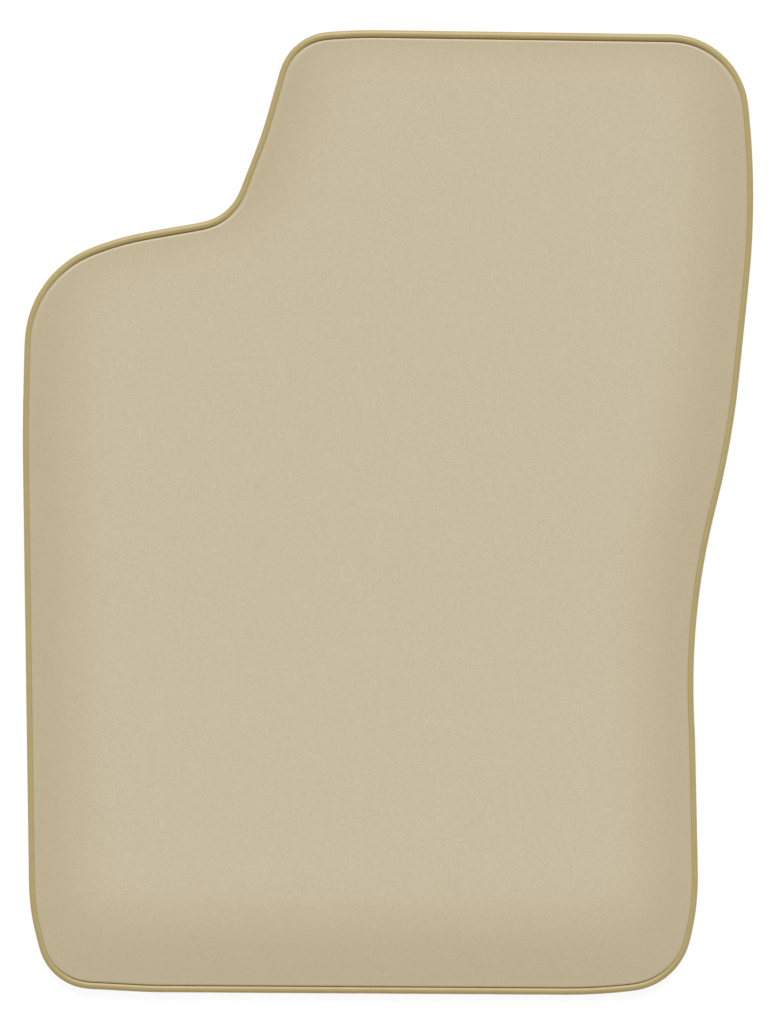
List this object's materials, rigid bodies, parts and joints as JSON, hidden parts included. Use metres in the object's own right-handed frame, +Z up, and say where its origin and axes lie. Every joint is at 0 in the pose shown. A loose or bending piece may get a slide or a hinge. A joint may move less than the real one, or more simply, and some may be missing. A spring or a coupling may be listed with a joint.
{
  "type": "floor mat",
  "caption": "Tailored carpet floor mat for a vehicle's front footwell, with a wheel arch notch, corded edge binding and nibbed rubber back.",
  "frame": {"origin": "on the floor under the middle of the mat's box, at the tip of the middle grip nib", "axes": "+X to the vehicle's right, +Y to the vehicle's front, along the mat's length, +Z up, from the nibs to the pile"},
  "size_m": [0.53, 0.7, 0.0107],
  "materials": {
    "pile_velour": "beige cut pile, short and dense, with a soft sheen",
    "cloth": "plain woven tufting cloth",
    "latex": "matt dried latex",
    "fleece": "grey needled fleece",
    "rubber": "matt moulded rubber with fine grain",
    "binding": "matt tan nubuck-like binding tape",
    "cord": "pale twisted filler cord",
    "thread": "tan twisted sewing thread"
  },
  "bodies": {
    "root": {"pile": "pile_velour", "tufting_cloth": "cloth", "latex_precoat": "latex", "stabilising_fleece": "fleece", "rubber_backing": "rubber", "edge_tape": "binding", "piping_cord": "cord", "needle_stitches": "thread", "bobbin_stitches": "thread"}
  },
  "joints": []
}
